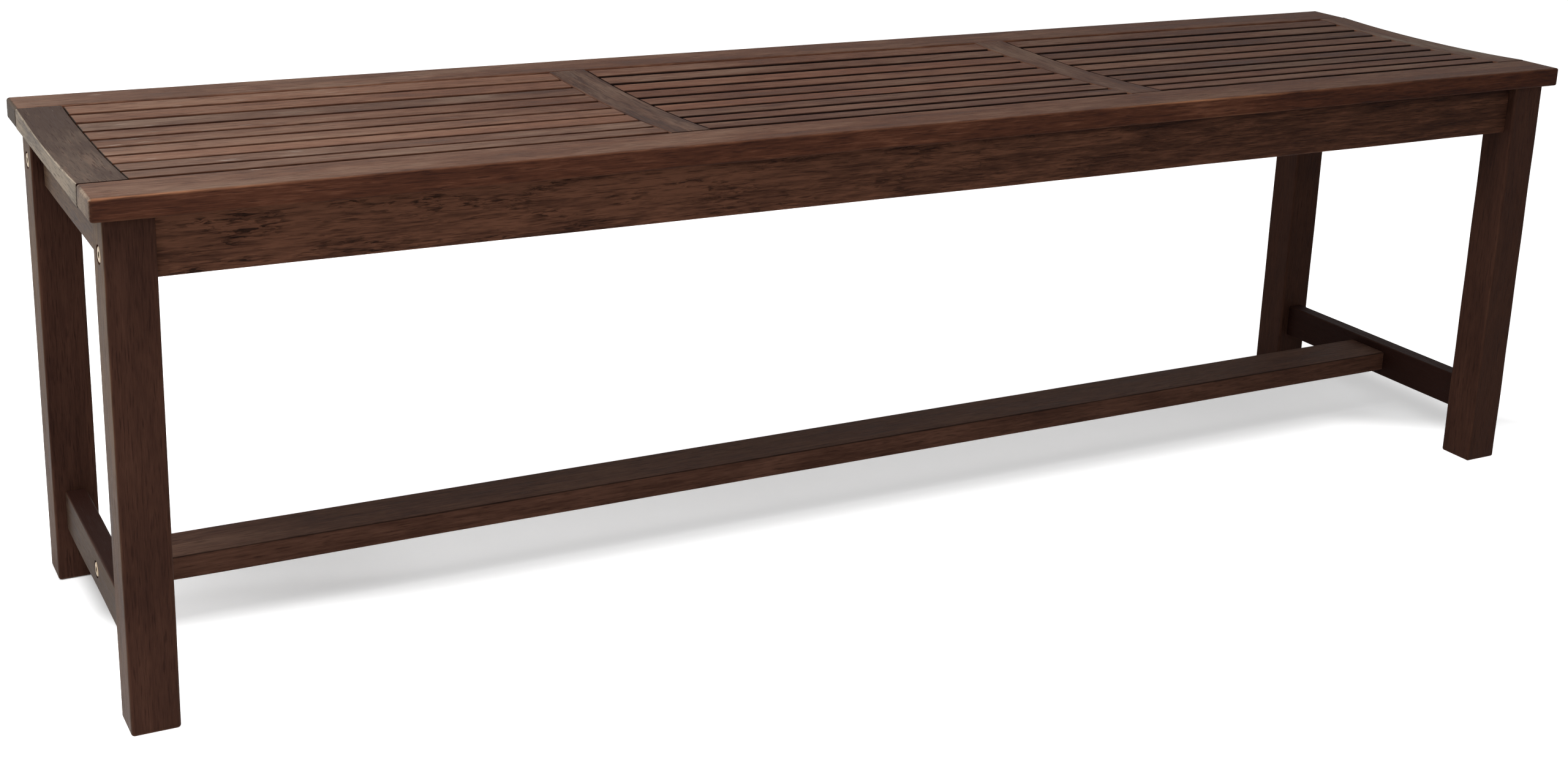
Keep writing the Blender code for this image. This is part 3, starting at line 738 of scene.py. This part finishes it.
for bayIndex, bay in enumerate(bays):
    for index in range(slatCount):
        node = f"slat_{bay}_{index + 1}"
        low, high = (np.array(corner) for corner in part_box(node))
        low[0], high[0] = bayEdges[2 * bayIndex] + gap, bayEdges[2 * bayIndex + 1] - gap
        low[2], high[2] = seatTop - slatThick, seatTop
        seed = slatLook["firstSeed"] + slatLook["bayStep"] * bayIndex + index
        rng = np.random.default_rng(seed)
        spare = rng.random(2) * slatLook["uneven"][bayIndex]
        low[1] += spare[0]
        high[1] -= spare[1]
        # the slat's sides get painted shade in the gaps
        sideShade = slatLook["bayGrime"][bayIndex]
        look = dict(slatLook, edge=slatLook["bayEdge"][bayIndex], grime=(0.0, sideShade, 0.0, sideShade))
        mesh = boardMesh(node, "X", low, high, look, seed)
        sinkTop(mesh, seatUnder, slatThick, True)
        tone = (rng.uniform(*slatLook["bayTones"][bayIndex]), rng.random() * slatLook["redness"][bayIndex],
                rng.uniform(*slatLook["filmShare"]))
        placeBoard(node, mesh, "X", seed + slatLook["grainStep"], seatWood, tone)
print("seat boards made")

# bolts, nuts and screws: places and lengths are read from the nodes
boltLook = {
    "headHeight": 0.005, "headRadius": 0.0065, "shankRadius": 0.003,
    "round": 0.0012, "roundSteps": 6,             # rounding of the head's rim
    "socketHalf": 0.0025, "socketDepth": 0.0026,
    "socketFloor": (0.2, 0.98),                   # rings on the socket's floor, as shares of its half width
    "socketRim": 0.0003,
    "faceRing": (0.0020, 0.6),                    # where the hexagon turns into a circle on the head's face
    "faceInset": 0.0004,
    "tipBevel": 0.0008, "tipShare": 0.3,
    "darkRings": 3,                              # rings inside the socket that are darker
    "recessRadius": 0.008, "recessDepth": 0.0055,
}


# rings of a bolt: distance from the head's face, circle's radius, hexagon's half width
def boltRings(length):
    look = boltLook
    head, shank = look["headRadius"], look["shankRadius"]
    hexagon, rounding = look["socketHalf"], look["round"]
    turn = np.linspace(0, np.pi / 2, look["roundSteps"])
    rings = [(look["socketDepth"], 0.0, hexagon * share) for share in look["socketFloor"]]
    rings += [(look["socketRim"], 0.0, hexagon), (0.0, look["socketRim"], hexagon)]
    rings += [(0.0, look["faceRing"][0], hexagon * look["faceRing"][1])]
    rings += [(0.0, head - rounding - look["faceInset"], 0.0)]
    rings += [(rounding * (1 - math.cos(t)), head - rounding * (1 - math.sin(t)), 0.0) for t in turn]
    rings += [(look["headHeight"], head, 0.0), (look["headHeight"], shank, 0.0)]
    rings += [(length - look["tipBevel"], shank, 0.0), (length, shank - look["tipBevel"], 0.0)]
    rings += [(length, shank * look["tipShare"], 0.0)]
    return rings


def placeBolt(node, outward):
    low, high = (np.array(corner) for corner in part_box(node))
    middle = (low + high) / 2
    start = high[0] if outward > 0 else low[0]
    mesh = turnedMesh(node, "X", start, -outward, (0.0, middle[1], middle[2]), boltRings(high[0] - low[0]),
                      darkRings=boltLook["darkRings"])
    placePiece(node, mesh, boltBrass)


nutLook = {"bevel": 0.0006, "capShare": 0.3}


def placeNut(node, axis):
    low, high = (np.array(corner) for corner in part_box(node))
    index = "XYZ".index(axis)
    middle = (low + high) / 2
    radius, length, bevel = (high[0] - low[0]) / 2, high[index] - low[index], nutLook["bevel"]
    cap = radius * nutLook["capShare"]
    middle[index] = 0.0
    rings = [(0.0, cap, 0.0), (0.0, radius - bevel, 0.0), (bevel, radius, 0.0),
             (length - bevel, radius, 0.0), (length, radius - bevel, 0.0), (length, cap, 0.0)]
    mesh = turnedMesh(node, axis, low[index], 1, middle, rings)
    placePiece(node, mesh, fixingZinc)


screwLook = {
    "headHeight": 0.003, "crown": 0.0008, "crownInset": 0.0012, "capShare": 0.35,
    "shankRadius": 0.002, "tip": 0.006, "tipRadius": 0.0004,
}


def placeScrew(node):
    low, high = (np.array(corner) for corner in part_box(node))
    middle = (low + high) / 2
    middle[2] = 0.0
    head, length = (high[0] - low[0]) / 2, high[2] - low[2]
    shank, under = screwLook["shankRadius"], screwLook["headHeight"]
    rings = [(0.0, head * screwLook["capShare"], 0.0), (0.0, head - screwLook["crownInset"], 0.0),
             (screwLook["crown"], head, 0.0), (under, head, 0.0), (under, shank, 0.0),
             (length - screwLook["tip"], shank, 0.0), (length, screwLook["tipRadius"], 0.0)]
    mesh = turnedMesh(node, "Z", low[2], 1, middle, rings)
    placePiece(node, mesh, fixingZinc)


for end, outward in zip(ends, (-1, 1)):
    for side in sides:
        placeBolt(f"leg_bolt_{side}_{end}", outward)
        placeNut(f"apron_nut_{side}_{end}", "Y")
        placeScrew(f"seat_screw_{side}_{end}")
    placeBolt(f"stretcher_bolt_{end}", outward)
    placeNut(f"stretcher_nut_{end}", "Z")
print("fixings made")


# middle of a node with one axis set to nothing, for a hole that runs along that axis
def holeMiddle(node, axis):
    low, high = (np.array(corner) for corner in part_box(node))
    middle = (low + high) / 2
    middle["XYZ".index(axis)] = 0.0
    return middle


# recess for a bolt's head, from the outer face of a board at one end of the bench
def boltRecess(mesh, bolt, low, high, end):
    outer, sense = (low[0], 1) if end == "left" else (high[0], -1)
    return drill(mesh, "X", outer, sense, holeMiddle(bolt, "X"), boltLook["recessRadius"],
                 boltLook["recessDepth"])


# legs, each with a recess for its bolt
legLook = {
    "edge": 0.0024, "endEdge": 0.0026, "endWear": 0.3, "wear": (0.15, 0.15, 0.15, 0.15),
    "grime": allClean, "endGrime": 0.0,
    "tone": (0.45, 0.1, 1.0),
    "shapeSeed": 140, "grainSeed": 240,
}
for order, (side, end) in enumerate((side, end) for side in sides for end in ends):
    node = f"leg_{side}_{end}"
    low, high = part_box(node)
    mesh = boardMesh(node, "Z", low, high, legLook, legLook["shapeSeed"] + order)
    mesh = boltRecess(mesh, f"leg_bolt_{side}_{end}", low, high, end)
    placeBoard(node, mesh, "Z", legLook["grainSeed"] + order, legWood, legLook["tone"])

# long aprons, drilled for the nuts from behind
apronLook = {
    "edge": 0.0020, "endEdge": 0.0005, "endWear": 0.0, "wear": (0.15, 0.25, 0.25, 0.15),
    "grime": allClean, "endGrime": 0.9, "holeSpare": 0.0002,
    # painted shade, darker towards the right
    "rightDark": 0.4,
    "topDark": (0.2, 0.9), "topReach": 0.006,   # painted shadow: dark strip under the seat, and how it grows to the right
    "upperLight": 1.0,                          # painted light: the upper half is paler at the left
    "pitStart": 1.15, "pitFall": 1.1, "pitLimits": (0.25, 1.0),
    "tone": (1.05, 0.10, 1.0),
    "shapeSeed": 160, "grainSeed": 260,
}
apronMiddle = (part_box("apron_front")[0][2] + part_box("apron_front")[1][2]) / 2


# long aprons: lightness falls with the square of the share from the left and in the strip under the seat,
# and rises in the upper half at the left, all painted shade and light; torn grain falls off evenly towards
# the right, between two limits
def apronShade(places, values):
    share = shareAlong(places)
    values[:, 0] -= apronLook["rightDark"] * share ** 2
    strip = places[:, 2] > seatUnder - apronLook["topReach"]
    values[:, 0] -= strip * (apronLook["topDark"][0] + apronLook["topDark"][1] * share)
    upper = np.clip((places[:, 2] - apronMiddle) / (seatUnder - apronMiddle), 0, 1)
    values[:, 0] += apronLook["upperLight"] * upper * (1 - share) ** 2
    values[:, 2] = np.clip(apronLook["pitStart"] - apronLook["pitFall"] * share, *apronLook["pitLimits"])


for order, side in enumerate(sides):
    node = f"apron_{side}"
    low, high = (np.array(corner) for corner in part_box(node))
    low[0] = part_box(f"leg_{side}_left")[1][0] + gap
    high[0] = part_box(f"leg_{side}_right")[0][0] - gap
    mesh = boardMesh(node, "X", low, high, apronLook, apronLook["shapeSeed"] + order)
    inner, sense = (high[1], -1) if side == "front" else (low[1], 1)
    for end in ends:
        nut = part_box(f"apron_nut_{side}_{end}")
        radius = (nut[1][0] - nut[0][0]) / 2 + apronLook["holeSpare"]
        depth = abs((nut[0][1] if side == "front" else nut[1][1]) - inner)
        mesh = drill(mesh, "Y", inner, sense, holeMiddle(f"apron_nut_{side}_{end}", "Y"), radius, depth)
    placeBoard(node, mesh, "X", apronLook["grainSeed"] + order, apronWood, apronLook["tone"],
               apronShade)

# end aprons and end stretchers between the legs
crossBoardLook = dict(
    apronLook, edge=0.0018, wear=(0.2, 0.2, 0.2, 0.2), shapeSeed=180, grainSeed=280,
    # the end stretchers' low lightness is painted shade from the seat above
    tones={"end_apron": (0.42, 0.1, 1.0), "end_stretcher": (-0.70, 0.0, 0.0)})
for order, (kind, end) in enumerate((kind, end) for kind in ("end_apron", "end_stretcher") for end in ends):
    node = f"{kind}_{end}"
    low, high = (np.array(corner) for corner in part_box(node))
    low[1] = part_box(f"leg_front_{end}")[1][1] + gap
    high[1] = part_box(f"leg_rear_{end}")[0][1] - gap
    mesh = boardMesh(node, "Y", low, high, crossBoardLook, crossBoardLook["shapeSeed"] + order)
    if kind == "end_stretcher":
        mesh = boltRecess(mesh, f"stretcher_bolt_{end}", low, high, end)
    else:
        for side in sides:
            screw = f"seat_screw_{side}_{end}"
            radius = (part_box(screw)[1][0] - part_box(screw)[0][0]) / 2 + apronLook["holeSpare"]
            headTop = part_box(screw)[0][2] + screwLook["headHeight"] + apronLook["holeSpare"]
            mesh = drill(mesh, "Z", low[2], 1, holeMiddle(screw, "Z"), radius, headTop - low[2])
    placeBoard(node, mesh, "Y", crossBoardLook["grainSeed"] + order, baseWood,
               crossBoardLook["tones"][kind])

# long stretcher, drilled for its nuts from below
stretcherLook = dict(
    # painted shade along the stretcher's upper front edge
    apronLook, edge=0.0013, wear=(0.1, 0.0, 0.15, 0.15), cornerGrime=(0.0, 0.8, 0.0, 0.0),
    tone=(0.85, 0.0, 1.0), shapeSeed=190, grainSeed=290)
low, high = (np.array(corner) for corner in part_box("long_stretcher"))
low[0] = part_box("end_stretcher_left")[1][0] + gap
high[0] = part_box("end_stretcher_right")[0][0] - gap
mesh = boardMesh("long_stretcher", "X", low, high, stretcherLook, stretcherLook["shapeSeed"])
for end in ends:
    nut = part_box(f"stretcher_nut_{end}")
    radius = (nut[1][0] - nut[0][0]) / 2 + apronLook["holeSpare"]
    mesh = drill(mesh, "Z", low[2], 1, holeMiddle(f"stretcher_nut_{end}", "Z"), radius, nut[1][2] - low[2])
placeBoard("long_stretcher", mesh, "X", stretcherLook["grainSeed"], baseWood,
           stretcherLook["tone"])
print("base boards made")

# floor and soft studio light
studio = {
    "floorHalf": 9.0,
    "floorPoints": 9,                # along each side of the floor's grid
    "floorColour": (0.90, 0.90, 0.90),
    "floorRough": 0.9,
    "underLift": (0.12, 0.43),       # white added for the eye under the bench, at its left and from there on: less white there paints a shadow
    "underReach": (-0.68, -0.40),
    "shadeEnds": (0.80, 0.92),       # distance from the middle along X where the shaded place ends
    "shadeNear": (0.021, -0.079),    # its near limit in Y
    "shadeFar": (0.159, 0.235),      # its far limit in Y
    "nearLeft": 0.048,               # the near limit lies farther back at the left, farther out at the right
    "nearRight": -0.075,
    "nearRightReach": (0.64, 0.80),
    "ambient": 0.11,
    "lamps": {
        "key": {"place": (-1.15, -0.38, 1.85), "aim": (-0.2, 0.0, 0.3), "size": (1.2, 1.0), "power": 43.0},
        "frontFill": {"place": (-0.6, -2.2, 1.25), "aim": (-0.15, 0.0, 0.25), "size": (1.8, 1.4),
                      "power": 14.0},
        "leftSide": {"place": (-3.0, -0.2, 1.4), "aim": (-0.6, 0.0, 0.40), "size": (1.4, 1.2), "power": 7.0},
        "backFill": {"place": (-1.8, 2.5, 0.85), "aim": (0.1, 0.0, 0.25), "size": (1.8, 1.2), "power": 12.0},
        "rightSide": {"place": (3.0, 0.3, 0.85), "aim": (0.6, 0.0, 0.30), "size": (1.4, 1.2), "power": 5.0},
    },
}


# one for what the eye sees, straight or in a glossy or clear surface, and nothing for light on the bench
def seenRays(tree):
    path = addNode(tree, "ShaderNodeLightPath")
    seen = mathNode(tree, "MAXIMUM", path.outputs["Is Camera Ray"], path.outputs["Is Glossy Ray"])
    return mathNode(tree, "MAXIMUM", seen, path.outputs["Is Transmission Ray"])


# floor: a flat grid, x and y stepped evenly from edge to edge
def makeFloor(settings):
    count = settings["floorPoints"]
    steps = np.linspace(-settings["floorHalf"], settings["floorHalf"], count)
    x, y = np.meshgrid(steps, steps, indexing="ij")
    points = np.stack([x, y, np.zeros_like(x)], -1).reshape(-1, 3)
    row = np.arange(count - 1)
    corner = (row[:, None] * count + row[None, :]).ravel()
    faces = np.stack([corner, corner + count, corner + count + 1, corner + 1], -1)
    mesh = bpy.data.meshes.new("floor")
    mesh.from_pydata(points.tolist(), [], faces.tolist())
    material, tree, shader = newMaterial("floorPaper")
    shader.inputs["Base Color"].default_value = (*settings["floorColour"], 1.0)
    shader.inputs["Roughness"].default_value = settings["floorRough"]
    shader.inputs["Specular IOR Level"].default_value = 0.0
    shader.inputs["Emission Color"].default_value = (1.0, 1.0, 1.0, 1.0)

    def eased(source, reach, result=(0.0, 1.0)):
        return rampNode(tree, source, settings[reach], result, "SMOOTHSTEP")

    # white for the eye: full outside the shaded place under the bench, less inside it, a painted shadow over
    # the real one
    place = addNode(tree, "ShaderNodeTexCoord").outputs["Object"]
    apart = addNode(tree, "ShaderNodeSeparateXYZ", {"Vector": place})
    along, across = apart.outputs["X"], apart.outputs["Y"]
    under = eased(along, "underReach", settings["underLift"])
    leftMove = eased(along, "underReach", (settings["nearLeft"], 0.0))
    rightMove = eased(along, "nearRightReach", (0.0, settings["nearRight"]))
    moved = mathNode(tree, "SUBTRACT", across, mathNode(tree, "ADD", leftMove, rightMove))
    away = eased(mathNode(tree, "ABSOLUTE", along), "shadeEnds")
    away = mathNode(tree, "MAXIMUM", away, eased(moved, "shadeNear"))
    away = mathNode(tree, "MAXIMUM", away, eased(across, "shadeFar"))
    rest = mathNode(tree, "SUBTRACT", 1.0, under)
    lift = mathNode(tree, "ADD", under, mathNode(tree, "MULTIPLY", rest, away))
    tree.links.new(mathNode(tree, "MULTIPLY", seenRays(tree), lift), shader.inputs["Emission Strength"])
    mesh.materials.append(material)
    floor = bpy.data.objects.new("floor", mesh)
    scene.collection.objects.link(floor)


def makeLight(settings):
    world = bpy.data.worlds.new("studio")
    scene.world = world
    world.use_nodes = True
    tree = world.node_tree
    tree.nodes.clear()
    strength = rampNode(tree, seenRays(tree), (0.0, 1.0), (settings["ambient"], 1.0))
    sky = addNode(tree, "ShaderNodeBackground", {"Strength": strength}, Color=(1.0, 1.0, 1.0, 1.0))
    output = tree.nodes.new("ShaderNodeOutputWorld")
    tree.links.new(sky.outputs["Background"], output.inputs["Surface"])
    for name, lamp in settings["lamps"].items():
        data = bpy.data.lights.new(name, "AREA")
        data.shape = "RECTANGLE"
        data.size, data.size_y = lamp["size"]
        data.energy = lamp["power"]
        holder = bpy.data.objects.new(name, data)
        holder.location = lamp["place"]
        aim = Vector(lamp["aim"]) - Vector(lamp["place"])
        holder.rotation_euler = aim.to_track_quat("-Z", "Y").to_euler()
        scene.collection.objects.link(holder)


makeFloor(studio)
makeLight(studio)
print("studio made")
